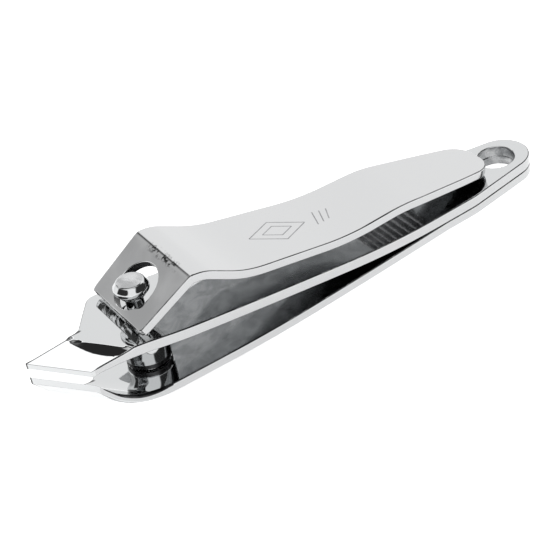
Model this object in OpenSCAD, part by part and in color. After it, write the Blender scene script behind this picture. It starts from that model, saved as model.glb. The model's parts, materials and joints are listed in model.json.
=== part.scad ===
// Nail clipper with a slanted cutting edge, a swivelling headed pin and a flip-over thumb lever.
// Drawn in millimetres. +X runs from the jaws to the keyring hole, +Z is up.
// Heights are first drawn from the seam between the two leaves and lengths from the keyring hole.
// seat() then moves the whole part so that its box is centred on Z and its belly rests on z = 0.

/* [Overall] */
// Length from the leading corner of the cutting edge to the tail end
overall_l = 80; // [80:0.5:84]
// Greatest width of the two spring leaves
leaf_w = 14.3; // [13.5:0.1:15]
// Thickness of the upper leaf
upper_t = 1.6; // [1.4:0.05:1.65]
// Thickness of the lower leaf
lower_t = 1.4; // [1.3:0.05:1.6]

/* [Tail] */
// Radius of the rounded tail end
tail_r = 4.1; // [4:0.05:4.4]
// Distance of that rounding's centre behind the keyring hole
tail_back = 0.9; // [0.8:0.05:1.1]
// Radius of the keyring hole
ring_hole_r = 2.75; // [2.2:0.05:2.8]
// Length of the welded, flat tail in front of the keyring hole
weld_l = 13.5; // [12:0.5:15]

/* [Jaws] */
// Angle of the cutting edge from square across the leaf
edge_slant = 36; // [34:0.5:38]
// Width of the jaws, measured square across the leaf
jaw_w = 7.85; // [7.5:0.05:8.2]
// Length of the ground slope on top of the upper jaw, square to the cutting edge
slope_run = 6.6; // [6:0.1:7]
// Height of the upper jaw's front face
upper_edge_t = 0.85; // [0.6:0.05:1.1]
// Length of the lower beak, square to the cutting edge
beak_run = 7.6; // [7.4:0.1:7.8]
// Steepest angle of the lower beak's inner face
beak_angle = 53; // [52:0.5:54]
// Height of the lower jaw's front face
lower_edge_t = 1.1; // [0.9:0.05:1.3]

/* [Pin] */
// Distance of the pin in front of the keyring hole
pin_u = 58.7; // [58.5:0.1:59]
// Radius of the pin's shank
shank_r = 1.85; // [1.7:0.05:1.9]
// Radius of the pin's neck, below its head
neck_r = 1.25; // [1.1:0.05:1.25]
// Radius of the pin's head
head_r = 2.45; // [2.3:0.05:2.5]
// Height of the pin's head
head_h = 2.35; // [2.2:0.05:2.5]
// Outer radius of the spacer sleeve between the leaves
sleeve_r = 3.2; // [3:0.05:3.3]
// Height of the spacer sleeve
sleeve_h = 4.4; // [4:0.1:4.4]

/* [Lever] */
// Thickness of the lever's sheet
lever_t = 1.3; // [1.1:0.05:1.3]
// Greatest width of the lever
lever_w = 14.4; // [13.8:0.1:14.6]
// Angle of the hooked flange above the horizontal
flange_angle = 30; // [29:0.5:31]
// Radius of the hole in the flange, which the pin's head passes
flange_hole_r = 3.5; // [3.3:0.05:3.6]
// Width of the bar between the lever's hinge line and that hole
bar_w = 0.1; // [0.1:0.05:0.35]
// Number of file ribs under the lever
file_ribs = 9; // [5:1:12]
// Distance from one file rib to the next
rib_pitch = 1; // [0.9:0.05:1.2]

/* [Hidden] */
$fn = 64;
run_gap = 0.1;      // gap at each face or bore where one body turns on another
cut_over = 1;       // how far a cutting shape runs past the surface that it cuts
tail_end = tail_back + tail_r;
tip = [tail_end - overall_l, jaw_w - leaf_w / 2 + 0.35];
near_corner = [tip[0] + jaw_w * tan(edge_slant), tip[1] - jaw_w];
widest_u = 57;      // where the leaves are widest
taper_u = 8;        // where the leaves' bowed sides meet the tail's straight taper

// Paths run as [point, heading] along one face of a bent strip. Each move is [length, radius, turn]:
// a straight move has a length only, and a bend has a radius and a turn in degrees, up being positive.
arc_steps = 8;
function left_of(h) = [-sin(h), cos(h)];
function bend(p, h, r, turn) = let (side = sign(turn), c = p + side * r * left_of(h))
    [for (k = [1:arc_steps]) let (a = h + turn * k / arc_steps) [c - side * r * left_of(a), a]];
function step_on(p, h, m) = m[2] == 0 ? [[p + m[0] * [cos(h), sin(h)], h]] : bend(p, h, m[1], m[2]);
function trace(p, h, moves, i = 0) = i == len(moves) ? []
    : let (part = step_on(p, h, moves[i]), last = part[len(part) - 1])
      concat(part, trace(last[0], last[1], moves, i + 1));
function path(p, h, moves) = concat([[p, h]], trace(p, h, moves));
function strip(steps, t) = concat([for (s = steps) s[0]],
    [for (i = [len(steps) - 1:-1:0]) steps[i][0] + t * left_of(steps[i][1])]);
function flip_x(points) = [for (p = points) [-p[0], p[1]]];
function end_of(steps) = steps[len(steps) - 1][0];

// The corner at b, rounded to radius r, between neighbours a and c
function unit(v) = v / norm(v);
function corner(a, b, c, r, n = 8) =
    let (ua = unit(a - b), uc = unit(c - b), half = acos(ua * uc) / 2, mid = unit(ua + uc),
         centre = b + mid * r / sin(half), start = b + ua * r / tan(half) - centre,
         spin = sign(ua[0] * uc[1] - ua[1] * uc[0]) * (180 - 2 * half))
    [for (k = [0:n]) let (a1 = -spin * k / n)
        centre + [start[0] * cos(a1) - start[1] * sin(a1), start[0] * sin(a1) + start[1] * cos(a1)]];

// Leaf paths, from the tail to the jaws, with u counted forward from the keyring hole
upper_path = path([-tail_end - cut_over, 0], 0, [
    [tail_end + cut_over + 15, 0, 0],
    [0, 130, 6.7],
    [23.5, 0, 0],
    [0, 79, 2.9],
    [3.2, 0, 0],
    [0, 33, -9.6],
    [15, 0, 0]]);
lower_path = path([-tail_end - cut_over, 0], 0, [
    [tail_end + cut_over + weld_l, 0, 0],
    [0, 2, -3.1],
    [22.5, 0, 0],
    [0, 259, 3.1],
    [30, 0, 0]]);
jaw_z = end_of(upper_path)[1];      // underside of the level upper jaw
belly_z = end_of(lower_path)[1];    // inner face of the level belly

// Lever: its hinge line runs through the rounded bar at the flange's foot
hinge = [-60.8, 7.6];
lever_path = path(hinge + lever_t / 2 * left_of(flange_angle), flange_angle, [
    [8.57, 0, 0],
    [0, 1.6, -8 - flange_angle],
    [0.55, 0, 0],
    [0, 6, -20],
    [3, 0, 0],
    [0, 18, 17],
    [9.5, 0, 0],
    [0, 38, 12],
    [3.5, 0, 0],
    [0, 22, -11],
    [16, 0, 0]]);
lever_tip_x = -3.2;
pin_x = -pin_u;
head_top = 11.2;
neck_foot = 6.55;                   // where the shank narrows to the neck
foot_r = 2.9;
foot_h = 0.6;
sink_h = 0.75;                      // depth of the recess for the pin's foot
belly_drop = lower_t - belly_z;     // height of the seam above the table

module seat() translate([overall_l / 2 - tail_end, 0, belly_drop]) children();
module across(w = 40) rotate([90, 0, 0]) linear_extrude(w, center = true) children();
module from_edge() translate([near_corner[0], near_corner[1], 0]) rotate([0, 0, edge_slant]) children();
module along_edge() from_edge() rotate([90, 0, 0]) linear_extrude(60, center = true) children();
module at_pin(z = 0) translate([pin_x, 0, z]) children();

// Plan of both leaves
function half_w(u) = leaf_w / 2 - pow(u - widest_u, 2) / (u < widest_u ? 1750 : 368);
taper_at = [taper_u + tail_back, half_w(taper_u)];
tangent_a = atan2(taper_at[1], taper_at[0]) + acos(tail_r / norm(taper_at));
shoulder = [-62.5, half_w(62.5)];
inner_corner = [-67, tip[1]];
module leaf_plan() polygon(concat(
    [for (a = [-(180 - tangent_a):10:180 - tangent_a]) [tail_back + tail_r * cos(a), tail_r * sin(a)]],
    [for (u = [taper_u:4:60]) [-u, half_w(u)]],
    corner([-60, half_w(60)], shoulder, inner_corner, 2.5),
    corner(shoulder, inner_corner, tip, 1.8),
    [tip, near_corner],
    [for (u = [68:-4:taper_u]) [-u, -half_w(u)]]));
module behind_line(d) from_edge() translate([d, -60]) square([120, 120]);

module ring_hole() translate([0, 0, -5]) cylinder(r = ring_hole_r, h = 10);

// The S-shaped ground slope of the upper jaw, at distance d behind the cutting edge
function eased(s) = s * s * (3 - 2 * s);
function slope_z(d) = jaw_z + upper_edge_t
    + (upper_t - upper_edge_t) * eased(min(1, max(0, d / slope_run)));
module upper_arm() color([0.86, 0.87, 0.88]) difference() {
    intersection() {
        across() polygon(flip_x(strip(upper_path, upper_t)));
        translate([0, 0, -10]) linear_extrude(30) leaf_plan();
    }
    along_edge() polygon(concat(
        [for (k = [0:12]) let (d = slope_run * k / 12) [d, slope_z(d) + (k == 12 ? 0.001 : 0)]],
        [[slope_run, 20], [-5, 20], [-5, slope_z(0)]]));
    ring_hole();
    at_pin(2) cylinder(r = shank_r + 0.45, h = 8);
}

// Lower beak, in section square to the cutting edge: d counts back from the edge
beak_in_r = 7;
beak_out_r = 7.2;
function beak_arc(r, z, last) = [for (k = [0:arc_steps]) let (a = last * k / arc_steps)
    [beak_run - r * sin(a), z + r * (1 - cos(a))]];
beak_inner = beak_arc(beak_in_r, belly_z, beak_angle);
beak_outer = beak_arc(beak_out_r, belly_z - lower_t, beak_angle + 2);
lower_edge_z = beak_inner[arc_steps][1] + beak_inner[arc_steps][0] * tan(beak_angle);
module beak_section() polygon(concat(
    [[beak_run + 3, belly_z - lower_t], [beak_run + 3, belly_z]], beak_inner,
    [[0, lower_edge_z], [0, lower_edge_z - lower_edge_t]],
    [for (k = [arc_steps:-1:1]) beak_outer[k]]));
module lower_arm() color([0.84, 0.85, 0.86]) difference() {
    union() {
        intersection() {
            across() polygon(flip_x(strip(lower_path, -lower_t)));
            translate([0, 0, -10]) linear_extrude(30) intersection() {
                leaf_plan();
                behind_line(beak_run);
            }
        }
        intersection() {
            along_edge() beak_section();
            translate([0, 0, -10]) linear_extrude(30) leaf_plan();
        }
    }
    ring_hole();
    at_pin(belly_z - lower_t - cut_over) cylinder(r = shank_r + run_gap, h = lower_t + 2 * cut_over);
    at_pin(belly_z - lower_t - cut_over) cylinder(r = foot_r + run_gap, h = sink_h + cut_over);
}

// Turned pin: foot, shank, neck and head, drawn as radius and height
foot_z = belly_z - lower_t + sink_h - run_gap - foot_h;
head_z = head_top - head_h;
module pin() color([0.8, 0.81, 0.82]) at_pin() rotate_extrude() polygon([
    [0, foot_z], [foot_r - 0.1, foot_z], [foot_r, foot_z + 0.1], [foot_r, foot_z + foot_h],
    [shank_r, foot_z + foot_h], [shank_r, neck_foot], [neck_r, neck_foot + 0.15],
    [neck_r, head_z - 0.2], [neck_r + 0.5, head_z + 0.1], [head_r - 0.35, head_z + 0.65],
    [head_r, head_z + 1], [head_r, head_top - 0.75], [head_r - 0.6, head_top], [0, head_top]]);

// Sleeve pressed on the shank, which holds the pin up in the lower leaf
module spacer_sleeve() color([0.7, 0.71, 0.72]) at_pin(belly_z + run_gap) rotate_extrude() polygon([
    [shank_r, 0], [sleeve_r - 0.5, 0], [sleeve_r, 0.5], [sleeve_r, sleeve_h - 0.3],
    [sleeve_r - 0.3, sleeve_h], [shank_r, sleeve_h]]);

// Plan of the lever: one side's corners, from the flange's foot to the tip, then both sides
lever_foot = [hinge[0] - 1.5, 6.45];
lever_side = [lever_foot, [-53, 7.05], [-47, lever_w / 2], [-18, 5.85], [-9, 4.65],
    [lever_tip_x, 3.7], [lever_tip_x, 0]];
lever_side_r = [12, 40, 40, 15, 3.4];
lever_edge = concat([lever_foot], [for (i = [0:len(lever_side_r) - 1])
    each corner(lever_side[i], lever_side[i + 1], lever_side[i + 2], lever_side_r[i])]);
module lever_plan() polygon(concat(lever_edge,
    [for (i = [len(lever_edge) - 1:-1:0]) [lever_edge[i][0], -lever_edge[i][1]]]));
first_rib_x = -22.7;
rib_depth = 0.2;
rib_l = 9;
function lever_top_z(x) = lookup(x, [for (s = lever_path) s[0]]);
module file_grooves() for (i = [0:file_ribs - 1]) let (x = first_rib_x + i * rib_pitch)
    translate([x, 0, lever_top_z(x) - lever_t + rib_depth - cut_over / 2])
        cube([rib_pitch * 0.5, rib_l, cut_over], center = true);
module lever() color([0.88, 0.89, 0.9]) difference() {
    intersection() {
        union() {
            across() polygon(strip(lever_path, -lever_t));
            translate([hinge[0], 0, hinge[1]]) rotate([90, 0, 0])
                cylinder(r = lever_t / 2, h = 40, center = true);
        }
        translate([0, 0, -10]) linear_extrude(40) lever_plan();
    }
    translate([hinge[0], 0, hinge[1]]) rotate([0, -flange_angle, 0])
        translate([bar_w + flange_hole_r, 0, -3]) cylinder(r = flange_hole_r, h = 6);
    file_grooves();
}

seat() lower_arm();
seat() upper_arm();
seat() pin();
seat() spacer_sleeve();
seat() lever();
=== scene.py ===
"""Nail clipper in polished chrome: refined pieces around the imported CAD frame.

Lengths in this script are millimetres, as in the CAD design: x from the keyring hole (the jaws are at
negative x), z from the seam between the two leaves. place() turns them into metres in the row's frame.
"""
import json
import math
import bpy
import numpy as np
from mathutils import Matrix, Vector
from mathutils.geometry import delaunay_2d_cdt


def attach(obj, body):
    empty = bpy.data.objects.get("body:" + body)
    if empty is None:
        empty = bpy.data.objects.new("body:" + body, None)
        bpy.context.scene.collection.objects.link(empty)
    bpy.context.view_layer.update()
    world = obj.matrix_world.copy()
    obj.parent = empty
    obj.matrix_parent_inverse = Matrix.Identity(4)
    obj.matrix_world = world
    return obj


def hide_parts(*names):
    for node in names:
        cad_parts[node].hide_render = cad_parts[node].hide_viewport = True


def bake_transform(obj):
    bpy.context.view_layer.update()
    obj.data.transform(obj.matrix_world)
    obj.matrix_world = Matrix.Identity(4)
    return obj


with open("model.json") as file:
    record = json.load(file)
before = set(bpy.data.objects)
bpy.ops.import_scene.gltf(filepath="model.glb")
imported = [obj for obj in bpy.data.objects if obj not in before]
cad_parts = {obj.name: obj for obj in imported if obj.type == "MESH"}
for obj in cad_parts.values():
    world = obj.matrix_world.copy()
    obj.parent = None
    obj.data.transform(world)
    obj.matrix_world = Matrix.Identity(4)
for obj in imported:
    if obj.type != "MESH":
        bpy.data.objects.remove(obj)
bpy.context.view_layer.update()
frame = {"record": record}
MM = 0.001


def joint(name):
    return next(j for j in frame["record"]["behaviour"]["joints"] if j["name"] == name)


def mount(name):
    return next(m for m in frame["record"]["mounts"] if m["name"] == name)


SEAT = np.array([mount("keyring_hole")["pos_m"][0], 0.0, joint("jaw_close")["pos_m"][2]])
PIN_X = (joint("pin_swivel")["pos_m"][0] - SEAT[0]) / MM
HINGE_X = (joint("lever_flip")["pos_m"][0] - SEAT[0]) / MM
HINGE_Z = (joint("lever_flip")["pos_m"][2] - SEAT[2]) / MM

# ---------------------------------------------------------------- design dimensions, as in the CAD
OVERALL_L, LEAF_W = 80.0, 14.3
UPPER_T, LOWER_T, LEVER_T = 1.6, 1.4, 1.3
TAIL_R, TAIL_BACK, RING_HOLE_R, WELD_L = 4.1, 0.9, 2.75, 13.5
EDGE_SLANT, JAW_W = math.radians(36), 7.85
SLOPE_RUN, UPPER_EDGE_T = 6.6, 0.85
BEAK_RUN, BEAK_ANGLE, LOWER_EDGE_T = 7.6, math.radians(53), 1.1
BEAK_IN_R, BEAK_OUT_R = 7.0, 7.2
SHANK_R, NECK_R, HEAD_R, HEAD_H, HEAD_TOP = 1.85, 1.25, 2.45, 2.35, 11.2
NECK_FOOT, FOOT_R, FOOT_H, SINK_H, RUN_GAP, SHANK_PLAY = 6.55, 2.9, 0.6, 0.75, 0.1, 0.45
SLEEVE_R, SLEEVE_H, SLEEVE_STEP = 3.2, 4.4, 0.8
FLANGE_ANGLE, FLANGE_HOLE_R, BAR_W = math.radians(30), 3.5, 0.1
TAIL_END = TAIL_BACK + TAIL_R
TIP = np.array([TAIL_END - OVERALL_L, JAW_W - LEAF_W / 2 + 0.35])
NEAR_CORNER = np.array([TIP[0] + JAW_W * math.tan(EDGE_SLANT), TIP[1] - JAW_W])
LEVER_TIP_X, LEVER_W = -3.2, 14.4
RIB_FIRST_X, RIB_LAST_X, RIB_PITCH, RIB_COUNT, RIB_DEPTH, RIB_HALF_W = -23.2, -14.4, 1.0, 9, 0.2, 4.6
EDGE_CORNER_R, ORNAMENT_X = 0.12, -36.5


def place(points):
    """Millimetres from the keyring hole and the seam, to metres in the row's frame."""
    return np.asarray(points, float) * MM + SEAT


# ---------------------------------------------------------------- bent-strip paths
def trace(start, heading, moves, step=0.02):
    """Samples of u, z, heading and arc length along a strip.
    A move is (length, 0, 0) or (0, radius, turn in degrees)."""
    rows = [(start[0], start[1], heading, 0.0)]
    for length, radius, turn in moves:
        turn = math.radians(turn)
        run = length if turn == 0 else radius * abs(turn)
        count = max(2, math.ceil(run / step))
        for _ in range(count):
            u, z, h, s = rows[-1]
            mid = h + turn / count / 2
            rows.append((u + run / count * math.cos(mid), z + run / count * math.sin(mid),
                         h + turn / count, s + run / count))
    return np.array(rows).T


UPPER_PATH = trace((-TAIL_END - 1, 0), 0, [
    (TAIL_END + 16, 0, 0), (0, 130, 6.7), (23.5, 0, 0), (0, 79, 2.9), (3.2, 0, 0), (0, 33, -9.6),
    (15, 0, 0)])
LOWER_PATH = trace((-TAIL_END - 1, 0), 0, [
    (TAIL_END + 1 + WELD_L, 0, 0), (0, 2, -3.1), (22.5, 0, 0), (0, 259, 3.1), (30, 0, 0)])
JAW_Z = UPPER_PATH[1][-1]
BELLY_Z = LOWER_PATH[1][-1]
flange_up = np.array([-math.sin(FLANGE_ANGLE), math.cos(FLANGE_ANGLE)])
LEVER_PATH = trace(np.array([HINGE_X, HINGE_Z]) + LEVER_T / 2 * flange_up, FLANGE_ANGLE, [
    (8.57, 0, 0), (0, 1.6, -38), (0.55, 0, 0), (0, 6, -20), (3, 0, 0), (0, 18, 17), (9.5, 0, 0),
    (0, 38, 12), (3.5, 0, 0), (0, 22, -11), (16, 0, 0)])


def smooth(t):
    t = np.clip(t, 0, 1)
    return t * t * (3 - 2 * t)


def behind_edge(x, y):
    """Distance behind the slanted cutting edge."""
    return (x - NEAR_CORNER[0]) * math.cos(EDGE_SLANT) + (y - NEAR_CORNER[1]) * math.sin(EDGE_SLANT)


def along_edge(x, y):
    """Distance along the cutting edge from its near corner."""
    return (y - NEAR_CORNER[1]) * math.cos(EDGE_SLANT) - (x - NEAR_CORNER[0]) * math.sin(EDGE_SLANT)


def facet_rise(d, along):
    """Rise of the upper jaw behind the edge: a flat facet, then the hollow that the wheel leaves behind it.
    Both ends of the hollow bow back towards the sides of the jaw."""
    slope, nearest_start, furthest_start = 0.10, 2.8, 4.8
    nearest_end, furthest_end = 4.5, 5.7
    bow = np.where(along < -0.8, 0.2, 0.048)
    start = np.minimum(nearest_start + bow * (along + 0.8) ** 2, furthest_start)
    width = np.minimum(nearest_end + 0.03 * (along - 1) ** 2, furthest_end) - start
    rise = UPPER_T - UPPER_EDGE_T - slope * (start + width / 2)
    t = np.clip((d - start) / width, 0, 1)
    return slope * np.minimum(d, start) + slope * width * (t - t**2 / 2) + rise * t**2


# Each shape maps a place (a, b) on the flat blank, and h from -1 on its lower face to 1 on its upper face,
# to a point in millimetres.
def upper_shape(a, b, h):
    u = -a
    low = np.interp(u, UPPER_PATH[0], UPPER_PATH[1])
    thick = UPPER_T / np.cos(np.interp(u, UPPER_PATH[0], UPPER_PATH[2]))
    ground = UPPER_EDGE_T + facet_rise(behind_edge(a, b), along_edge(a, b))
    thick = np.where(behind_edge(a, b) < SLOPE_RUN, np.minimum(thick, JAW_Z - low + ground), thick)
    return np.stack([a, b, low + thick * (h + 1) / 2], -1)


def beak_face(d, radius, z, last):
    """Height of a beak face at distance d behind the edge: an arc up from the belly, then straight."""
    run = np.clip(BEAK_RUN - d, 0, None)
    arc_run = radius * math.sin(last)
    on_arc = radius - np.sqrt(np.clip(radius**2 - np.minimum(run, arc_run) ** 2, 0, None))
    return z + on_arc + np.clip(run - arc_run, 0, None) * math.tan(last)


LOWER_EDGE_Z = float(beak_face(np.array(0.0), BEAK_IN_R, BELLY_Z, BEAK_ANGLE))


def lower_shape(a, b, h):
    u, d = -a, behind_edge(a, b)
    high = np.interp(u, LOWER_PATH[0], LOWER_PATH[1])
    low = high - LOWER_T / np.cos(np.interp(u, LOWER_PATH[0], LOWER_PATH[2]))
    out_last = BEAK_ANGLE + math.radians(2)
    arc_run = BEAK_OUT_R * math.sin(out_last)
    arc_top = BELLY_Z - LOWER_T + BEAK_OUT_R * (1 - math.cos(out_last))
    edge_foot = LOWER_EDGE_Z - LOWER_EDGE_T
    past_arc = np.clip((BEAK_RUN - d - arc_run) / (BEAK_RUN - arc_run), 0, None)
    chord = arc_top + (edge_foot - arc_top) * past_arc
    outer = np.where(BEAK_RUN - d > arc_run, chord, beak_face(d, BEAK_OUT_R, BELLY_Z - LOWER_T, out_last))
    inner = beak_face(d, BEAK_IN_R, BELLY_Z, BEAK_ANGLE)
    high, low = np.where(d < BEAK_RUN, inner, high), np.where(d < BEAK_RUN, outer, low)
    return np.stack([a, b, low + (high - low) * (h + 1) / 2], -1)


RIB_FIRST_S = float(np.interp(RIB_FIRST_X, LEVER_PATH[0], LEVER_PATH[3]))


def rib_cut(a, b):
    """Depth of the file's teeth in the lever's underside."""
    phase = (a - RIB_FIRST_S) / RIB_PITCH
    inside = (phase > 0) & (phase < RIB_COUNT)
    tooth = 1 - np.abs(2 * (phase % 1) - 1)
    return np.where(inside, RIB_DEPTH * tooth * smooth((RIB_HALF_W - np.abs(b)) / 0.3), 0)


def lever_shape(a, b, h):
    before = np.minimum(a, 0)
    x, z, head, _ = (np.interp(a, LEVER_PATH[3], row) for row in LEVER_PATH)
    x, z = x + before * math.cos(FLANGE_ANGLE), z + before * math.sin(FLANGE_ANGLE)
    down = (LEVER_T - np.where(h < 0, rib_cut(a, b), 0)) * (1 - h) / 2
    return np.stack([x + down * np.sin(head), b, z - down * np.cos(head)], -1)


# ---------------------------------------------------------------- outlines
def fillet(a, b, c, r, n):
    a, b, c = (np.array(p, float) for p in (a, b, c))
    ua, uc = (a - b) / np.linalg.norm(a - b), (c - b) / np.linalg.norm(c - b)
    half = math.acos(float(ua @ uc)) / 2
    mid = (ua + uc) / np.linalg.norm(ua + uc)
    centre = b + mid * r / math.sin(half)
    start, end = b + ua * r / math.tan(half) - centre, b + uc * r / math.tan(half) - centre
    a0, a1 = math.atan2(start[1], start[0]), math.atan2(end[1], end[0])
    turn = (a1 - a0 + math.pi) % (2 * math.pi) - math.pi
    return [centre + r * np.array([math.cos(a0 + turn * k / n), math.sin(a0 + turn * k / n)])
            for k in range(n + 1)]


def rounded(corners, steps=10):
    """A closed outline through (x, y, radius) corners, each rounded to its radius."""
    out, count = [], len(corners)
    for i, (x, y, r) in enumerate(corners):
        after = corners[(i + 1) % count][:2]
        out += fillet(corners[i - 1][:2], (x, y), after, r, steps) if r else [np.array([x, y])]
    return out


def resample(outline, step):
    """Adds points so that no straight stretch is longer than step. The short arcs keep their own points."""
    out = []
    for p, q in zip(outline, outline[1:] + outline[:1]):
        count = max(1, math.ceil(np.linalg.norm(q - p) / step))
        out += [p + (q - p) * k / count for k in range(count)]
    keep = [p for i, p in enumerate(out) if np.linalg.norm(p - out[i - 1]) > 1e-4]
    return np.array(keep)


def circle(x, y, r, n=96):
    a = np.linspace(0, 2 * math.pi, n, endpoint=False)
    return np.stack([x + r * np.cos(a), y + r * np.sin(a)], -1)


def leaf_half_w(u):
    bow = 1750 if u < 57 else 368
    return LEAF_W / 2 - (u - 57) ** 2 / bow


def leaf_outline():
    taper = np.array([8 + TAIL_BACK, leaf_half_w(8)])
    tangent = math.atan2(taper[1], taper[0]) + math.acos(TAIL_R / np.linalg.norm(taper))
    tail = [np.array([TAIL_BACK + TAIL_R * math.cos(a), TAIL_R * math.sin(a)])
            for a in np.linspace(-(math.pi - tangent), math.pi - tangent, 64)]
    far = [np.array([-u, leaf_half_w(u)]) for u in np.arange(9.5, 59.6, 2.0)]
    shoulder, inner = (-62.5, leaf_half_w(62.5)), (-67.0, TIP[1])
    jaws = fillet((-60, leaf_half_w(60)), shoulder, inner, 2.5, 14)
    jaws += fillet(shoulder, inner, TIP, 1.8, 10)
    jaws += fillet(inner, TIP, NEAR_CORNER, EDGE_CORNER_R, 4)
    jaws += fillet(TIP, NEAR_CORNER, (-65, -leaf_half_w(65)), EDGE_CORNER_R, 4)
    near = [np.array([-u, -leaf_half_w(u)]) for u in np.arange(67.5, 9.0, -2.0)]
    taper_far = fillet(tail[-1], (-8, leaf_half_w(8)), far[0], 9, 8)
    taper_near = fillet(near[-1], (-8, -leaf_half_w(8)), tail[0], 9, 8)
    return resample(tail + taper_far + far + jaws + near + taper_near, 0.5)


def lever_outline():
    """The lever's plan, with x taken along the bent strip."""
    foot_x = HINGE_X - LEVER_T / 2 * math.cos(FLANGE_ANGLE)
    side = [(foot_x, 6.5, 0.5), (-53, 7.05, 12), (-47, LEVER_W / 2, 40),
            (-18, 5.85, 40), (-9, 4.65, 15), (LEVER_TIP_X, 3.7, 3.4)]
    loop = rounded([(x, -y, r) for x, y, r in side] + [(x, y, r) for x, y, r in reversed(side)])
    loop = resample(loop, 0.4)
    mid_x = LEVER_PATH[0] + LEVER_T / 2 * np.sin(LEVER_PATH[2])
    along = np.interp(loop[:, 0], mid_x, LEVER_PATH[3])
    foot = loop[:, 0] < HINGE_X
    along[foot] = (loop[foot, 0] - HINGE_X) / math.cos(FLANGE_ANGLE)
    return np.stack([along, loop[:, 1]], -1)


# ---------------------------------------------------------------- mesh building
def unit(v):
    return v / np.maximum(np.linalg.norm(v, axis=-1, keepdims=True), 1e-12)


def cap_normals(shape, pts, h):
    a, b, e = pts[:, 0], pts[:, 1], 0.04
    da = shape(a + e, b, h) - shape(a - e, b, h)
    db = shape(a, b + e, h) - shape(a, b - e, h)
    return unit(np.cross(da, db)) * np.sign(h)[:, None]


def outward(loop):
    """Normals of a loop that runs anticlockwise seen from above; a hole's loop runs clockwise."""
    t = unit(np.roll(loop, -1, 0) - loop) + unit(loop - np.roll(loop, 1, 0))
    return unit(np.stack([t[:, 1], -t[:, 0]], -1))


def inside(pts, loop):
    x, y = pts[:, 0], pts[:, 1]
    hit = np.zeros(len(pts), bool)
    for (x0, y0), (x1, y1) in zip(loop, np.roll(loop, -1, 0)):
        if y0 != y1:
            hit ^= ((y0 > y) != (y1 > y)) & (x < (x1 - x0) * (y - y0) / (y1 - y0) + x0)
    return hit


def rim(shape, loop, radius, arc=5):
    """Rings from the upper face, round the edge and down to the lower face: points, normals and (a, b)."""
    n2 = outward(loop)
    mid = np.zeros(len(loop))
    through = shape(loop[:, 0], loop[:, 1], mid + 1) - shape(loop[:, 0], loop[:, 1], mid - 1)
    thick = np.linalg.norm(through, axis=1)
    radius = np.minimum(radius, 0.49 * thick)
    rings = []
    turns = [(1, k) for k in range(arc + 1)] + [(-1, k) for k in range(arc, -1, -1)]
    for side, k in turns:
        phi = math.pi / 2 * k / arc
        pts = loop - n2 * (radius * (1 - math.sin(phi)))[:, None]
        h = side * (1 - 2 * radius * (1 - math.cos(phi)) / thick)
        pos = shape(pts[:, 0], pts[:, 1], h)
        cap = cap_normals(shape, pts, mid + side)
        along = np.roll(pos, -1, 0) - np.roll(pos, 1, 0)
        updir = shape(pts[:, 0], pts[:, 1], mid + 1) - shape(pts[:, 0], pts[:, 1], mid - 1)
        wall = unit(np.cross(along, updir))
        rings.append((pos, unit(math.cos(phi) * cap + math.sin(phi) * wall), pts))
    return rings


OUTER, INNER, EDGE, WORN_PAINTED_DARK, BORE, SIDE, RIBS = range(7)  # a plate's finishes, in the order of its materials
# rows painted dark as lines, standing for the dark reflections along the rounded edges
LINE_ROWS = (2, 3, 9, 10)  # the rim's rows, halfway round its two rounded edges, that show as a line
FILL_WITH_HOLES = 4  # the triangulation's mode that keeps inner outlines empty
FILL_CLEARANCE = 0.12  # nearest that a fill point may come to a rim


def outline_finish(row, loop, worn_painted_dark):
    """Painted dark lines along both rounded edges of the outline, standing for their dark reflections, and
    the places of wear, whose finishes hold painted dark reflections.
    """
    found = np.full(len(loop), EDGE if row in LINE_ROWS else OUTER)
    found[worn_painted_dark(loop, row)] = WORN_PAINTED_DARK
    return found.tolist()


def hole_finish(row, rows, loop):
    """Sheared walls below the rounded upper edge of a hole. In the lever's hole they are painted near black:
    painted shade.
    """
    return [BORE if row >= rows // 2 - 2 else OUTER] * len(loop)


def rim_faces(start, n, row):
    """Quads between ring row - 1 and ring row, of n points each. The rim's first ring begins at start."""
    a, b = start + (row - 1) * n, start + row * n
    i = np.arange(n)
    j = (i + 1) % n
    return np.stack([a + i, b + i, b + j, a + j], -1)


def fill_points(grid, rings):
    """The grid's points inside the first ring, outside the others and clear of them all."""
    keep = np.ones(len(grid), bool)
    for i, ring in enumerate(rings):
        keep &= inside(grid, ring) == (i == 0)
    ring_pts = np.concatenate(rings)
    clear = [np.min(np.sum((ring_pts - p) ** 2, 1)) > FILL_CLEARANCE**2 for p in grid[keep]]
    return grid[keep][np.array(clear)]


def cap_triangles(name, starts, rings, fill, count):
    """Triangles over one face of a plate. Ring points are numbered from starts, fill points from count."""
    ids = np.concatenate([start + np.arange(len(r)) for start, r in zip(starts, rings)]
                         + [count + np.arange(len(fill))])
    edges, at = [], 0
    for ring in rings:
        edges += [(at + i, at + (i + 1) % len(ring)) for i in range(len(ring))]
        at += len(ring)
    pts = [Vector(p) for p in np.concatenate(rings + [fill]).tolist()]
    made = delaunay_2d_cdt(pts, edges, [], FILL_WITH_HOLES, 1e-7)
    assert all(made[3]), f"{name}: the fill crosses an outline"
    back = np.array([ids[o[0]] for o in made[3]])
    tri = back[np.array(made[2])]
    for start, ring in zip(starts[1:], rings[1:]):
        tri = tri[~np.all((tri >= start) & (tri < start + len(ring)), axis=1)]
    return tri


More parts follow.
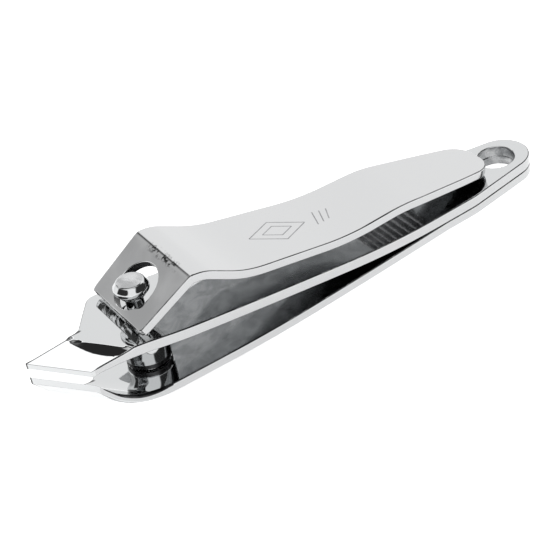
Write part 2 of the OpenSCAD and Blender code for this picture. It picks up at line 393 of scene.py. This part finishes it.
def plate(name, shape, loops, radii, grid, low_finish=INNER, worn_painted_dark=lambda loop, row: []):
    """A closed bent plate: rounded rims at the outline, loops[0], and at each hole, and both faces filled.
    worn_painted_dark says which of an outline row's quads take the finish for wear, which holds painted dark
    reflections."""
    pos, nor, quads, tris, finish = [], [], [], [], []
    starts, caps = {1: [], -1: []}, {1: [], -1: []}
    count = 0
    for loop, radius in zip(loops, radii):
        rings = rim(shape, loop, radius)
        for row, (points, normals, _) in enumerate(rings):
            pos.append(points)
            nor.append(normals)
            if row == 0:
                continue
            quads += rim_faces(count, len(loop), row).tolist()
            is_outline = loop is loops[0]
            finish += outline_finish(row, loop, worn_painted_dark) if is_outline else hole_finish(row, len(rings), loop)
        starts[1].append(count)
        starts[-1].append(count + (len(rings) - 1) * len(loop))
        caps[1].append(rings[0][2])
        caps[-1].append(rings[-1][2])
        count += len(rings) * len(loop)
    for side in (1, -1):
        fill = fill_points(grid, caps[side])
        tri = cap_triangles(name, starts[side], caps[side], fill, count)
        tris += (tri if side > 0 else tri[:, ::-1]).tolist()
        finish += [OUTER if side > 0 else low_finish] * len(tri)
        h = np.full(len(fill), float(side))
        pos.append(shape(fill[:, 0], fill[:, 1], h))
        nor.append(cap_normals(shape, fill, h))
        count += len(fill)
    obj = new_mesh(name, place(np.concatenate(pos)), np.concatenate(nor), quads + tris)
    obj.data.polygons.foreach_set("material_index", finish)
    return obj


def weld(verts, normals, faces):
    """Joins points that share a place, such as the ends of a turned piece and the seam of a ring."""
    _, first, back = np.unique(np.round(verts, 8), axis=0, return_index=True, return_inverse=True)
    merged = np.zeros((len(first), 3))
    np.add.at(merged, back.ravel(), normals)
    loops = [list(dict.fromkeys(back.ravel()[list(face)].tolist())) for face in faces]
    return verts[first], merged, loops


def new_mesh(name, verts, normals, faces):
    verts, normals, faces = weld(verts, normals, faces)
    mesh = bpy.data.meshes.new(name)
    mesh.from_pydata(verts.tolist(), [], faces)
    mesh.validate()
    mesh.polygons.foreach_set("use_smooth", [True] * len(mesh.polygons))
    mesh.normals_split_custom_set_from_vertices(unit(normals).tolist())
    obj = bpy.data.objects.new(name, mesh)
    bpy.context.scene.collection.objects.link(obj)
    return obj


def lathe(name, profile, x, z, radius=0.12, segments=128, arc=5):
    """A turned piece about the vertical axis at x. profile holds (r, z) corners, each rounded to radius."""
    pts = [np.array(profile[0], float)]
    for i in range(1, len(profile) - 1):
        a, b, c = (np.array(p, float) for p in profile[i - 1:i + 2])
        room = 0.45 * min(np.linalg.norm(a - b), np.linalg.norm(c - b))
        ua, uc = (a - b) / np.linalg.norm(a - b), (c - b) / np.linalg.norm(c - b)
        half = math.acos(float(np.clip(ua @ uc, -1, 1))) / 2
        pts += fillet(a, b, c, min(radius, room * math.tan(half)), arc) if half < 1.55 else [b]
    pts.append(np.array(profile[-1], float))
    pts = np.array(pts)
    t = unit(np.gradient(pts, axis=0))
    t[0], t[-1] = unit(pts[1] - pts[0]), unit(pts[-1] - pts[-2])
    seg = unit(np.diff(pts, axis=0))
    t[1:-1] = unit(seg[:-1] + seg[1:])
    n2 = np.stack([t[:, 1], -t[:, 0]], -1)
    a = np.linspace(0, 2 * math.pi, segments, endpoint=False)
    ring = np.stack([np.cos(a), np.sin(a)], -1)
    verts = np.concatenate([np.c_[ring * r + [x, 0], np.full(segments, z + dz)] for r, dz in pts])
    norms = np.concatenate([np.c_[ring * nr, np.full(segments, nz)] for nr, nz in n2])
    faces = []
    i = np.arange(segments)
    j = (i + 1) % segments
    for k in range(len(pts) - 1):
        lo, hi = k * segments, (k + 1) * segments
        faces += np.stack([lo + i, lo + j, hi + j, hi + i], -1).tolist()
    return verts, norms, faces, pts


def turned(name, profile, x, z, radius, dull_and_shade_band, closed=False):
    """A turned solid. A closed profile is a ring with a bore; an open one starts and ends on the axis.
    Faces that lie between the two heights of dull_and_shade_band take the second finish: matt on the pin's
    head, painted shade in the sleeve's groove."""
    if closed:
        profile = profile + profile[:1]
    verts, norms, faces, pts = lathe(name, profile, x, z, radius)
    if not closed:
        n = len(verts) // len(pts)
        verts[:n], verts[-n:] = [x, 0, z + pts[0][1]], [x, 0, z + pts[-1][1]]
        norms[:n], norms[-n:] = [0, 0, -1], [0, 0, 1]
    obj = new_mesh(name, place(verts), norms, faces)
    low, high = (place((0, 0, z + height))[2] for height in dull_and_shade_band)
    for face in obj.data.polygons:
        face.material_index = int(all(low < obj.data.vertices[i].co.z < high for i in face.vertices))
    return obj


# ---------------------------------------------------------------- materials
class Finish:
    """A metal whose nodes are added one by one. Noise scales are per metre, and distances are in metres."""

    def __init__(self, name, tint, rough):
        self.mat = bpy.data.materials.new(name)
        self.mat.use_nodes = True
        self.tree = self.mat.node_tree
        self.shader = self.tree.nodes["Principled BSDF"]
        self.shader.inputs["Base Color"].default_value = (*tint, 1)
        self.shader.inputs["Metallic"].default_value = 1
        self.shader.inputs["Roughness"].default_value = rough
        self.where = self.node("TexCoord").outputs["Object"]

    def node(self, kind, links=(), **values):
        made = self.tree.nodes.new("ShaderNode" + kind)
        for key, value in values.items():
            setattr(made, key, value)
        for socket, value in dict(links).items():
            if isinstance(value, bpy.types.NodeSocket):
                self.tree.links.new(value, made.inputs[socket])
            else:
                made.inputs[socket].default_value = value
        return made

    def noise(self, scale, detail=2.0, rough=0.5, distortion=0.0):
        return self.node("TexNoise", {"Vector": self.where, "Scale": scale, "Detail": detail,
                                      "Roughness": rough, "Distortion": distortion}).outputs["Fac"]

    def spread(self, value, lo, hi, to_lo, to_hi, smooth_step=False):
        kind = "SMOOTHSTEP" if smooth_step else "LINEAR"
        return self.node("MapRange", {"Value": value, "From Min": lo, "From Max": hi, "To Min": to_lo,
                                      "To Max": to_hi}, interpolation_type=kind).outputs["Result"]

    def maths(self, kind, a, b):
        return self.node("Math", {0: a, 1: b}, operation=kind).outputs[0]

    def mix(self, factor, a, b):
        """Colour a where factor is 0 and b where it is 1. Either may be a socket."""
        a, b = (c if isinstance(c, bpy.types.NodeSocket) else (*c, 1) for c in (a, b))
        return self.node("Mix", {0: factor, 6: a, 7: b}, data_type="RGBA").outputs[2]

    def bump(self, height, distance, before=None):
        links = {"Height": height, "Distance": distance, "Strength": 1.0}
        if before is not None:
            links["Normal"] = before
        return self.node("Bump", links).outputs["Normal"]

    def use(self, socket, value):
        self.tree.links.new(value, self.shader.inputs[socket])


def chrome(name, tint, rough, wave, grain=0.02):
    """Plated steel: a mirror with faint waves from polishing and slight changes of roughness."""
    metal = Finish(name, tint, rough)
    metal.use("Roughness", metal.spread(metal.noise(900, 3), 0.35, 0.75, rough, rough + grain))
    metal.waves = metal.bump(metal.noise(160, 1.5), wave)
    metal.use("Normal", metal.waves)
    return metal


def lever_plate_finish():
    """The lever's chrome, uneven over its length, hazy on the flange and pitted where the strip was bent."""
    tint, dark_haze, pit = (0.64, 0.645, 0.65), (0.52, 0.525, 0.53), (0.03, 0.03, 0.03)
    metal = chrome("lever_chrome", tint, 0.04, 0.000003)
    metal.use("Normal", metal.bump(metal.noise(75, 1.0), 0.00003, metal.waves))
    x, y, _ = metal.node("SeparateXYZ", {"Vector": metal.where}).outputs
    bend = place((LEVER_BEND_X, 0, 0))[0]
    from_bend = metal.maths("ABSOLUTE", metal.maths("SUBTRACT", x, bend - 0.0006), 0.0)
    from_middle = metal.maths("ABSOLUTE", metal.maths("ADD", y, 0.0005), 0.0)
    strip = metal.spread(from_bend, 0.0002, 0.0009, 1.0, 0.0, True)
    side = metal.spread(from_middle, 0.002, 0.0045, 1.0, 0.0, True)
    flecks = metal.spread(metal.noise(1100, 6, 0.75), 0.5, 0.56, 0.0, 1.0, True)
    pitted = metal.maths("MULTIPLY", metal.maths("MULTIPLY", strip, side), flecks)
    on_flange = metal.spread(x, bend - 0.0012, bend - 0.0004, 1.0, 0.0, True)
    cloud = metal.spread(metal.noise(170, 3, 0.5, 0.4), 0.3, 0.7, 0.0, 1.0, True)
    cloud = metal.maths("MULTIPLY", cloud, on_flange)
    metal.use("Base Color", metal.mix(pitted, metal.mix(cloud, tint, dark_haze), pit))
    return metal.mat


def leaf_plate_finish():
    """The leaves' chrome, with a thin painted dark line along the far side of the jaws, standing for the
    edge's dark reflection.
    """
    tint, painted_line_dark = (0.62, 0.63, 0.635), (0.08, 0.08, 0.08)
    metal = chrome("leaf_chrome", tint, 0.03, 0.000004)
    x, y, _ = metal.node("SeparateXYZ", {"Vector": metal.where}).outputs
    side, inner = place((0, TIP[1], 0))[1], place((TIP[0] + 8.2, 0, 0))[0]
    # painted dark line just inside the jaws' far edge
    line = metal.spread(y, side - 0.00036, side - 0.00028, 0.0, 1.0)
    line = metal.maths("MULTIPLY", line, metal.spread(y, side + 0.00002, side + 0.00006, 1.0, 0.0))
    mask = metal.maths("MULTIPLY", line, metal.spread(x, inner, inner + 0.0003, 1.0, 0.0))
    metal.use("Base Color", metal.mix(mask, tint, painted_line_dark))
    return metal.mat


def sheared_chrome_painted_reflections():
    """The plated face where the lever's foot was sheared off, rough and ripped, with painted dark and light
    reflections broken across its colour.
    """
    metal = Finish("foot_chrome", (0.6, 0.6, 0.61), 0.12)
    torn_and_painted_reflections = metal.spread(metal.noise(520, 3, 0.6, 0.8), 0.44, 0.56, 0.0, 1.0, True)
    metal.use("Base Color", metal.mix(torn_and_painted_reflections, (0.03, 0.03, 0.03), (0.62, 0.625, 0.63)))
    metal.use("Normal", metal.bump(torn_and_painted_reflections, 0.00006))
    return metal.mat


def dull_steel(name, dark, light, rough, blotch_scale=420):
    """Plated but unpolished steel, mottled. Made near black, it also gives painted shade and painted dark
    lines.
    """
    metal = Finish(name, light, rough)
    blotch = metal.spread(metal.noise(blotch_scale, 5, 0.6, 0.6), 0.35, 0.65, 0.0, 1.0, True)
    metal.use("Base Color", metal.mix(blotch, dark, light))
    metal.use("Roughness", metal.spread(metal.noise(700, 4), 0.3, 0.7, rough, rough + 0.12))
    metal.use("Normal", metal.bump(metal.noise(260, 3), 0.00001))
    return metal.mat


LEVER_BEND_X = float(LEVER_PATH[0][int(np.argmax(LEVER_PATH[1]))])
leaf_chrome, lever_chrome = leaf_plate_finish(), lever_plate_finish()
pin_chrome = chrome("pin_chrome", (0.60, 0.61, 0.615), 0.06, 0.000012).mat
inner_steel = dull_steel("inner_steel", (0.23, 0.235, 0.24), (0.33, 0.335, 0.34), 0.1)
# near black: painted shade in the lever's pin hole and the sleeve's groove, painted dark reflection on the
# lower beak's near edge
painted_shade_steel = dull_steel("painted_shade_steel", (0.02, 0.02, 0.021), (0.07, 0.07, 0.072), 0.22)
head_steel = dull_steel("head_steel", (0.4, 0.405, 0.41), (0.62, 0.625, 0.63), 0.16)
foot_chrome = sheared_chrome_painted_reflections()
# mottled painted dark lines along the rounded edges, standing for their dark reflections
painted_edge_line = dull_steel("painted_edge_line", (0.03, 0.03, 0.031), (0.42, 0.425, 0.43), 0.2, 130)
bore_steel = dull_steel("bore_steel", (0.16, 0.165, 0.17), (0.42, 0.425, 0.43), 0.2)
rib_steel = dull_steel("rib_steel", (0.1, 0.1, 0.103), (0.17, 0.17, 0.175), 0.2)
etched_grey = dull_steel("etched_grey", (0.28, 0.28, 0.29), (0.4, 0.4, 0.41), 0.3)
# darker tint on the upright sides: painted shade that tones down their bright reflections
side_chrome_painted_shade = chrome("side_chrome_painted_shade", (0.54, 0.545, 0.55), 0.12, 0.000006, 0.1).mat
leaf_finishes = [leaf_chrome, inner_steel, painted_edge_line, painted_shade_steel, bore_steel, side_chrome_painted_shade]
# the lever's hole walls take near-black painted shade, and its foot's end painted dark and light reflections
lever_finishes = [lever_chrome, inner_steel, painted_edge_line, foot_chrome, painted_shade_steel, side_chrome_painted_shade, rib_steel]


def finish_sides(plate_piece):
    """Gives a plate's upright sides their sheared, rougher chrome, its tint darkened as painted shade, apart
    from the faces at the cutting edge.
    """
    for face in plate_piece.data.polygons:
        x, y = (face.center[:2] - SEAT[:2]) / MM
        if face.material_index == OUTER and abs(face.normal.z) < 0.3 and behind_edge(x, y) > 0.4:
            face.material_index = SIDE


def finish_piece(obj, materials, slot, body, *nodes):
    for material in materials:
        obj.data.materials.append(material)
    if nodes:
        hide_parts(*nodes)
    if body:
        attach(obj, body)


# ---------------------------------------------------------------- leaves
def grid_points(a_values, b_values):
    a, b = np.meshgrid(a_values, b_values)
    return np.stack([a.ravel(), b.ravel()], -1)


def jaw_grid():
    """Fill points in rows parallel to the cutting edge, where the ground faces curve."""
    d, along = np.meshgrid(np.arange(0.25, 8.4, 0.3), np.arange(-4, 18, 0.8))
    c, s = math.cos(EDGE_SLANT), math.sin(EDGE_SLANT)
    return np.stack([NEAR_CORNER[0] + d.ravel() * c - along.ravel() * s,
                     NEAR_CORNER[1] + d.ravel() * s + along.ravel() * c], -1)


def leaf_grid():
    rows = grid_points(np.arange(-76, 5, 0.7), np.arange(-7, 7.1, 1.75))
    rows = rows[behind_edge(rows[:, 0], rows[:, 1]) > 8.6]
    return np.concatenate([rows, jaw_grid()])


def make_leaves():
    outline = leaf_outline()
    edge_gap = behind_edge(outline[:, 0], outline[:, 1])
    leaf_radius = 0.05 + 0.17 * smooth((edge_gap - 0.2) / 0.8)
    near_side = outline[:, 1] < -5
    beak_worn = 0.34 * smooth((edge_gap - 0.2) / 2) * smooth((9 - edge_gap) / 5) * near_side
    ring_hole = circle(0, 0, RING_HOLE_R)[::-1]
    shank_hole = circle(PIN_X, 0, SHANK_R + SHANK_PLAY)[::-1]
    foot_hole = circle(PIN_X, 0, FOOT_R + RUN_GAP)[::-1]

    upper_leaf = plate("upper_leaf", upper_shape, [outline, ring_hole, shank_hole],
                       [leaf_radius, 0.15, 0.12], leaf_grid())
    finish_sides(upper_leaf)
    finish_piece(upper_leaf, leaf_finishes, "leaf_chrome", None, "upper_arm")
    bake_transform(upper_leaf)

    # The lower beak's near edge is rounded more by wear, and its rim there is painted near black: painted
    # dark reflection.
    lower_leaf = plate("lower_leaf", lower_shape, [outline, ring_hole, foot_hole],
                       [leaf_radius + beak_worn, 0.15, 0.08], leaf_grid(), low_finish=OUTER,
                       worn_painted_dark=lambda loop, row: (beak_worn > 0.05) & (row < 6))
    finish_sides(lower_leaf)
    finish_piece(lower_leaf, leaf_finishes, "leaf_chrome", "lower_arm", "lower_arm")


# ---------------------------------------------------------------- pin and sleeve
def make_pin():
    foot_z = BELLY_Z - LOWER_T + SINK_H - RUN_GAP - FOOT_H
    head_z = HEAD_TOP - HEAD_H
    profile = [(0, foot_z), (FOOT_R, foot_z), (FOOT_R, foot_z + FOOT_H), (SHANK_R, foot_z + FOOT_H),
               (SHANK_R, NECK_FOOT), (NECK_R, NECK_FOOT + 0.15), (NECK_R, head_z - 0.2),
               (NECK_R + 0.5, head_z + 0.1), (HEAD_R - 0.35, head_z + 0.65), (HEAD_R, head_z + 1.0),
               (HEAD_R, HEAD_TOP - 0.75), (HEAD_R - 0.6, HEAD_TOP), (0, HEAD_TOP)]
    pin = turned("headed_pin", profile, PIN_X, 0, 0.4, dull_and_shade_band=(HEAD_TOP - 0.01, HEAD_TOP + 0.1))
    finish_piece(pin, [pin_chrome, head_steel], "pin_chrome", "pin", "pin")


def make_sleeve():
    """The ring round the shank, with the groove at its foot painted near black: painted shade."""
    groove_r = SLEEVE_R - 0.12
    profile = [(SHANK_R, 0), (SLEEVE_R - 0.45, 0), (groove_r, 0.2), (groove_r, SLEEVE_STEP),
               (SLEEVE_R, SLEEVE_STEP + 0.15), (SLEEVE_R, SLEEVE_H - 0.3), (SLEEVE_R - 0.3, SLEEVE_H),
               (SHANK_R, SLEEVE_H), (SHANK_R, SLEEVE_H / 2)]
    # the groove's band takes near-black steel: painted shade where the sleeve meets the leaf
    groove = (-0.1, SLEEVE_STEP + 0.06)
    sleeve = turned("sleeve", profile, PIN_X, BELLY_Z + RUN_GAP, 0.1, dull_and_shade_band=groove, closed=True)
    finish_piece(sleeve, [pin_chrome, painted_shade_steel], "pin_chrome", "pin", "spacer_sleeve")


# ---------------------------------------------------------------- lever
def lever_grid():
    """Fill points for the lever: close rows in its bend, and eight to a tooth over the file."""
    file_l = RIB_COUNT * RIB_PITCH
    rib_rows = grid_points(RIB_FIRST_S + np.arange(-0.3, file_l + 0.4, RIB_PITCH / 8),
                           np.array([-4.6, -4.3, -2.2, 0, 2.2, 4.3, 4.6]))
    flange, bend, handle = np.arange(-0.4, 8.4, 0.7), np.arange(8.4, 10.3, 0.12), np.arange(10.4, 61, 0.6)
    rows = grid_points(np.concatenate([flange, bend, handle]), np.arange(-7, 7.1, 1.75))
    on_file = (rows[:, 0] > RIB_FIRST_S - 0.5) & (rows[:, 0] < RIB_FIRST_S + file_l + 0.5)
    rows = rows[~(on_file & (np.abs(rows[:, 1]) < 5))]
    return np.concatenate([rows, rib_rows])


def finish_file(lever):
    """Gives the file's teeth, under the lever, their darker finish."""
    for face in lever.data.polygons:
        x, y = (face.center[:2] - SEAT[:2]) / MM
        in_file = RIB_FIRST_X < x < RIB_LAST_X and abs(y) < RIB_HALF_W
        if face.material_index == INNER and in_file:
            face.material_index = RIBS


def make_lever():
    outline = lever_outline()
    foot_round = smooth((0.4 - outline[:, 0]) / 0.8)
    pin_hole = circle(BAR_W + FLANGE_HOLE_R, 0, FLANGE_HOLE_R)[::-1]
    # The foot's end takes the sheared face's finish, with painted dark and light reflections.
    lever = plate("thumb_lever", lever_shape, [outline, pin_hole], [0.2 + 0.1 * foot_round, 0.15],
                  lever_grid(), worn_painted_dark=lambda loop, row: (loop[:, 0] < -0.2) & (row > 2))
    finish_file(lever)
    finish_sides(lever)
    finish_piece(lever, lever_finishes, "lever_chrome", "lever", "lever")


# ---------------------------------------------------------------- etched ornament on the lever
def etched_line(start, end, width=0.16, above=0.006, below=0.05):
    """A closed thin strip between two places (a, b) on the lever's upper face."""
    dense = np.linspace(start, end, 12)
    t = unit(np.gradient(dense, axis=0))
    side = np.stack([-t[:, 1], t[:, 0]], -1) * width / 2
    rows = []
    for sign, lift in ((-1, above), (1, above), (1, -below), (-1, -below)):
        q = dense + sign * side
        rows.append(lever_shape(q[:, 0], q[:, 1], np.full(len(q), 1 + 2 * lift / LEVER_T)))
    n = len(dense)
    verts = np.concatenate(rows)
    i = np.arange(n - 1)
    faces = []
    for k in range(4):
        a, b = k * n, (k + 1) % 4 * n
        faces += np.stack([a + i, a + i + 1, b + i + 1, b + i], -1).tolist()
    faces += [[0, n, 2 * n, 3 * n], [4 * n - 1, 3 * n - 1, 2 * n - 1, n - 1]]
    return verts, faces


def make_ornament():
    """A lozenge within a lozenge and three slanted strokes: a plain pattern in place of any mark."""
    a0 = float(np.interp(ORNAMENT_X, LEVER_PATH[0], LEVER_PATH[3]))
    strokes = []
    for long, wide in ((4.4, 2.7), (2.3, 1.4)):
        corners = [(a0 - long, 0), (a0, -wide), (a0 + long, 0), (a0, wide)]
        strokes += [(corners[k], corners[(k + 1) % 4]) for k in range(4)]
    strokes += [((a0 + 5.6 + k, -1.6 + 0.2 * k), (a0 + 6.6 + k, 1.6 - 0.2 * k)) for k in range(3)]
    verts, faces = [], []
    for stroke in strokes:
        v, f = etched_line(*stroke)
        start = sum(len(p) for p in verts)
        verts.append(v)
        faces += [[start + i for i in face] for face in f]
    mesh = bpy.data.meshes.new("etched_lozenge")
    mesh.from_pydata(place(np.concatenate(verts)).tolist(), [], faces)
    obj = bpy.data.objects.new("etched_lozenge", mesh)
    bpy.context.scene.collection.objects.link(obj)
    finish_piece(obj, [etched_grey], "lever_chrome", "lever")


make_leaves()
make_pin()
make_sleeve()
make_lever()
make_ornament()

# ---------------------------------------------------------------- studio
def studio_world(cards, base):
    """Soft white surroundings with cards: (azimuth, elevation, half width, half height, edge) in degrees,
    then the card's level. Azimuth 0 is +Y and turns towards +X."""
    world = bpy.data.worlds.new("studio")
    bpy.context.scene.world = world
    world.use_nodes = True
    nodes, links = world.node_tree.nodes, world.node_tree.links
    where = nodes.new("ShaderNodeTexCoord")
    level = base

    def math_node(kind, a, b):
        n = nodes.new("ShaderNodeMath")
        n.operation = kind
        for k, v in enumerate((a, b)):
            if isinstance(v, (int, float)):
                n.inputs[k].default_value = v
            else:
                links.new(v, n.inputs[k])
        return n.outputs[0]

    def along(direction):
        n = nodes.new("ShaderNodeVectorMath")
        n.operation = "DOT_PRODUCT"
        links.new(where.outputs["Generated"], n.inputs[0])
        n.inputs[1].default_value = direction
        return n.outputs["Value"]

    def soft_step(value, lo, hi):
        n = nodes.new("ShaderNodeMapRange")
        n.interpolation_type = "SMOOTHSTEP"
        n.inputs["From Min"].default_value = lo
        n.inputs["From Max"].default_value = hi
        n.inputs["To Min"].default_value = 1
        n.inputs["To Max"].default_value = 0
        links.new(value, n.inputs["Value"])
        return n.outputs["Result"]

    for az, el, half_w, half_h, edge, strength in cards:
        az, el = math.radians(az), math.radians(el)
        centre = Vector((math.sin(az) * math.cos(el), math.cos(az) * math.cos(el), math.sin(el)))
        right = Vector((math.cos(az), -math.sin(az), 0))
        up = right.cross(centre)
        front = math_node("MAXIMUM", along(centre), 0.02)
        mask = None
        for direction, half in ((right, half_w), (up, half_h)):
            ratio = math_node("DIVIDE", along(direction), front)
            size = math_node("ABSOLUTE", ratio, 0)
            narrow, wide = math.radians(max(half - edge, 0.1)), math.radians(half + edge)
            step = soft_step(size, math.tan(narrow), math.tan(wide))
            mask = step if mask is None else math_node("MULTIPLY", mask, step)
        gain = math_node("MULTIPLY", math_node("SUBTRACT", strength, level), mask)
        level = math_node("ADD", level, gain)
    links.new(level, nodes["Background"].inputs["Strength"])
    nodes["Background"].inputs["Color"].default_value = (1, 1, 1, 1)


studio_world([
    (30, 20, 60, 26, 6, 1.1),        # pale far wall that the lever's top shows
    (60, 80, 60, 24, 5, 0.05),       # dark ceiling, for the thin lines along the rounded edges
    (60, 86, 17, 15, 9, 0.95),       # a soft light straight above
    (136, 32, 34, 18, 3, 0.04),      # dark walls to both sides, for the dark flanks of the turned pieces
    (-88, 32, 30, 18, 3, 0.04),
    (-8, 60, 30, 11, 1, 0.03),       # the low edge of the ceiling, for the band on the upper jaw
    (-30, 35, 16, 14, 6, 0.62),      # greyer side that the hooked flange shows
    (12, 45.5, 14, 3, 1, 1.75),      # bright card that the ground slope shows
], 1.25)


def make_floor(half=3.0, z=-0.00002):
    """A pale matt floor just under the part, lit a little from within so that it stays white."""
    mesh = bpy.data.meshes.new("floor")
    corners = [(-half, -half, z), (half, -half, z), (half, half, z), (-half, half, z)]
    mesh.from_pydata(corners, [], [(0, 1, 2, 3)])
    floor = bpy.data.objects.new("floor", mesh)
    bpy.context.scene.collection.objects.link(floor)
    material = bpy.data.materials.new("pale_floor")
    material.use_nodes = True
    shader = material.node_tree.nodes["Principled BSDF"]
    shader.inputs["Base Color"].default_value = (0.94, 0.94, 0.94, 1)
    shader.inputs["Roughness"].default_value = 0.9
    shader.inputs["Specular IOR Level"].default_value = 0
    shader.inputs["Emission Color"].default_value = (1, 1, 1, 1)
    shader.inputs["Emission Strength"].default_value = 0.75
    mesh.materials.append(material)


make_floor()


# ---------------------------------------------------------------- camera
AIM = Vector((-3.067, 0.117, 3.878)) * MM
DISTANCE, AZIMUTH, ELEVATION, ROLL, LENS, SENSOR = 249.8 * MM, -26.0, 35.5, 11.54, 120.24, 36


def make_camera():
    """Looks at AIM from azimuth and elevation in degrees, and is rolled about its own line of sight."""
    az, el, roll = (math.radians(v) for v in (AZIMUTH, ELEVATION, ROLL))
    back = Vector((math.sin(az) * math.cos(el), -math.cos(az) * math.cos(el), math.sin(el)))
    level_right = Vector((0, 0, 1)).cross(back).normalized()
    level_up = back.cross(level_right)
    right = level_right * math.cos(roll) - level_up * math.sin(roll)
    turn = Matrix((right, back.cross(right), back)).transposed().to_4x4()
    data = bpy.data.cameras.new("camera")
    data.lens, data.sensor_width = LENS, SENSOR
    data.clip_start, data.clip_end = 0.01, 20
    camera = bpy.data.objects.new("camera", data)
    camera.matrix_world = Matrix.Translation(AIM + back * DISTANCE) @ turn
    bpy.context.scene.collection.objects.link(camera)
    bpy.context.scene.camera = camera
    bpy.context.scene.view_settings.view_transform = "Standard"


make_camera()
